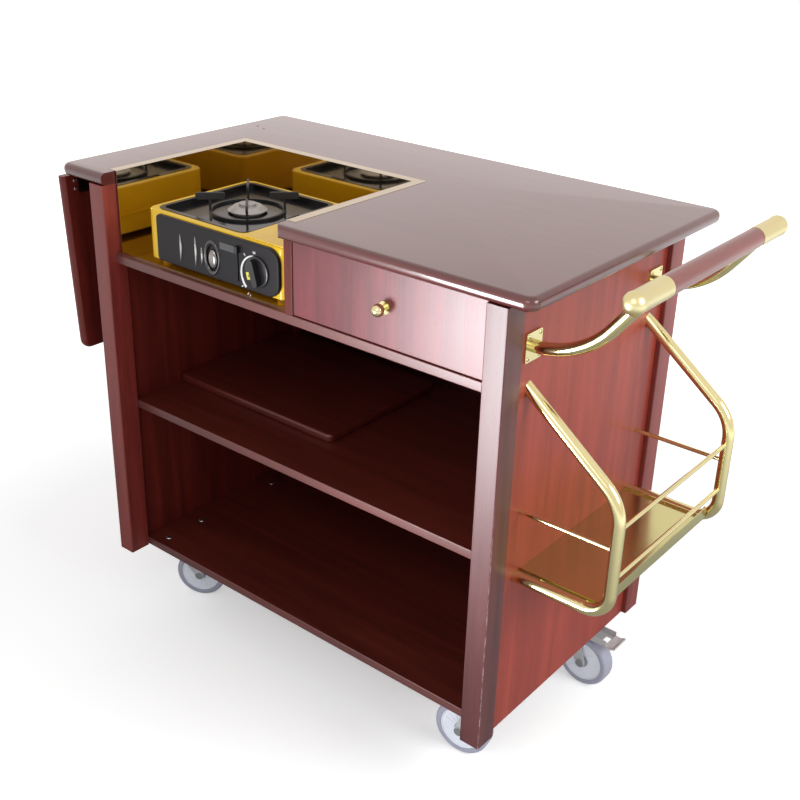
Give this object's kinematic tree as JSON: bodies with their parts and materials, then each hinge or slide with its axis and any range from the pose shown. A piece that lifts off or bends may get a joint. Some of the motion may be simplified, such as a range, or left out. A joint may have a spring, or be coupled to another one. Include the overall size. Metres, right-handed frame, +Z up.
{
  "type": "tableside cooking cart",
  "caption": "Wooden serving cart with a drop leaf, push handle, side rack, drawer, open shelves and a steel-lined well holding a portable gas stove.",
  "frame": {"origin": "centre of the footprint's bounding box, on the floor", "axes": "+X along the cart from the drop leaf to the push handle, +Y from the open front to the back panel, +Z up"},
  "size_m": [1.1338, 0.5661, 0.9202],
  "materials": {
    "carcass_wood": "stained, satin lacquer",
    "board_wood": "stained, satin lacquer",
    "grip_wood": "clear lacquer",
    "mirror_steel": "polished stainless sheet",
    "gold_tube": "polished gold plate",
    "rail_zinc": "zinc plated",
    "caster_chrome": "bright plate",
    "caster_tread": "grey non-marking rubber",
    "stove_yellow": "glossy enamel",
    "stove_dark": "glossy",
    "stove_black": "black enamel",
    "burner_alloy": "cast",
    "trivet_iron": "black enamel",
    "canister_white": "glossy"
  },
  "bodies": {
    "cart": {"post_front_left": "carcass_wood", "post_front_right": "carcass_wood", "post_rear_left": "carcass_wood", "post_rear_right": "carcass_wood", "end_panel_left": "carcass_wood", "end_panel_right": "carcass_wood", "top_board": "carcass_wood", "drawer_divider": "carcass_wood", "back_panel": "board_wood", "bottom_shelf": "board_wood", "middle_shelf": "board_wood", "deck_board": "board_wood", "runner_spacer": "board_wood", "handle_grip": "grip_wood", "well_liner": "mirror_steel", "handle_cap_front": "gold_tube", "handle_cap_rear": "gold_tube", "handle_arm_front": "gold_tube", "handle_arm_rear": "gold_tube", "rack_side_front": "gold_tube", "rack_side_rear": "gold_tube", "rack_guard_rods": "gold_tube", "rack_end_rods": "gold_tube", "rack_cross_rods": "gold_tube", "rack_tray": "gold_tube", "drawer_runners": "rail_zinc", "leaf_hinge_fixed": "rail_zinc", "caster_plates": "caster_chrome"},
    "drawer": {"drawer_front": "carcass_wood", "drawer_sides": "board_wood", "drawer_back": "board_wood", "drawer_bottom": "board_wood", "drawer_knob": "gold_tube", "drawer_slides": "rail_zinc"},
    "leaf": {"drop_leaf": "carcass_wood", "leaf_hinge_moving": "rail_zinc"},
    "cover": {"cover_board": "board_wood"},
    "swivel_front_left": {"caster_fork_front_left": "caster_chrome", "caster_axle_front_left": "caster_chrome"},
    "wheel_front_left": {"caster_wheel_front_left": "caster_tread"},
    "swivel_front_right": {"caster_fork_front_right": "caster_chrome", "caster_axle_front_right": "caster_chrome"},
    "wheel_front_right": {"caster_wheel_front_right": "caster_tread"},
    "swivel_rear_left": {"caster_fork_rear_left": "caster_chrome", "caster_axle_rear_left": "caster_chrome"},
    "wheel_rear_left": {"caster_wheel_rear_left": "caster_tread"},
    "swivel_rear_right": {"caster_fork_rear_right": "caster_chrome", "caster_axle_rear_right": "caster_chrome"},
    "wheel_rear_right": {"caster_wheel_rear_right": "caster_tread"},
    "pedal_rear_left": {"brake_pedal_rear_left": "caster_chrome"},
    "pedal_rear_right": {"brake_pedal_rear_right": "caster_chrome"},
    "stove": {"stove_body": "stove_yellow", "stove_front": "stove_dark", "stove_drip_pan": "stove_black", "stove_burner": "burner_alloy", "stove_canister": "canister_white"},
    "dial": {"stove_knob": "stove_dark"},
    "lever": {"stove_lever": "stove_dark"},
    "canister_lid": {"stove_lid": "stove_yellow"},
    "trivet": {"stove_trivet": "trivet_iron"}
  },
  "joints": [
    {"name": "drawer_slide", "type": "slide", "parent": "cart", "child": "drawer", "axis": [0, -1, 0], "range_m": [0, 0.3]},
    {"name": "leaf_hinge", "type": "hinge", "parent": "cart", "child": "leaf", "pos_m": [-0.54832, 0.00405, 0.868], "axis": [0, 1, 0], "range_deg": [0, 93.5]},
    {"name": "cover_lift", "type": "slide", "parent": "cart", "child": "cover", "axis": [0, 0, 1], "range_m": [0, 0.2]},
    {"name": "swivel_front_left", "type": "hinge", "parent": "cart", "child": "swivel_front_left", "pos_m": [-0.40932, -0.16295, 0.107], "axis": [0, 0, 1], "continuous": true},
    {"name": "wheel_front_left", "type": "hinge", "parent": "swivel_front_left", "child": "wheel_front_left", "pos_m": [-0.38107, -0.14793, 0.05], "axis": [0.4695, -0.8829, 0], "continuous": true},
    {"name": "swivel_front_right", "type": "hinge", "parent": "cart", "child": "swivel_front_right", "pos_m": [0.32668, -0.16295, 0.107], "axis": [0, 0, 1], "continuous": true},
    {"name": "wheel_front_right", "type": "hinge", "parent": "swivel_front_right", "child": "wheel_front_right", "pos_m": [0.29492, -0.16685, 0.05], "axis": [-0.1219, 0.9925, 0], "continuous": true},
    {"name": "swivel_rear_left", "type": "hinge", "parent": "cart", "child": "swivel_rear_left", "pos_m": [-0.40932, 0.12505, 0.107], "axis": [0, 0, 1], "continuous": true},
    {"name": "wheel_rear_left", "type": "hinge", "parent": "swivel_rear_left", "child": "wheel_rear_left", "pos_m": [-0.44037, 0.13279, 0.05], "axis": [0.2419, 0.9703, 0], "continuous": true},
    {"name": "brake_rear_left", "type": "hinge", "parent": "swivel_rear_left", "child": "pedal_rear_left", "pos_m": [-0.45104, 0.13545, 0.116], "axis": [-0.2419, -0.9703, 0], "range_deg": [0, 15], "stiffness_Nm_per_rad": 0.5, "springref_deg": -6.88},
    {"name": "swivel_rear_right", "type": "hinge", "parent": "cart", "child": "swivel_rear_right", "pos_m": [0.32668, 0.12505, 0.107], "axis": [0, 0, 1], "continuous": true},
    {"name": "wheel_rear_right", "type": "hinge", "parent": "swivel_rear_right", "child": "wheel_rear_right", "pos_m": [0.35868, 0.12505, 0.05], "axis": [0, -1, 0], "continuous": true},
    {"name": "brake_rear_right", "type": "hinge", "parent": "swivel_rear_right", "child": "pedal_rear_right", "pos_m": [0.36968, 0.12505, 0.116], "axis": [0, 1, 0], "range_deg": [0, 15], "stiffness_Nm_per_rad": 0.5, "springref_deg": -6.88},
    {"name": "stove_lift", "type": "slide", "parent": "cart", "child": "stove", "axis": [0, 0, 1], "range_m": [0, 0.2]},
    {"name": "dial_turn", "type": "hinge", "parent": "stove", "child": "dial", "pos_m": [-0.09992, -0.24495, 0.787], "axis": [0, -1, 0], "range_deg": [0, 140]},
    {"name": "lever_slide", "type": "slide", "parent": "stove", "child": "lever", "axis": [0, 0, -1], "range_m": [0, 0.045]},
    {"name": "canister_lid_hinge", "type": "hinge", "parent": "stove", "child": "canister_lid", "pos_m": [-0.09632, 0.00605, 0.839], "axis": [-1, 0, 0], "range_deg": [0, 100]},
    {"name": "trivet_lift", "type": "slide", "parent": "stove", "child": "trivet", "axis": [0, 0, 1], "range_m": [0, 0.04]}
  ]
}
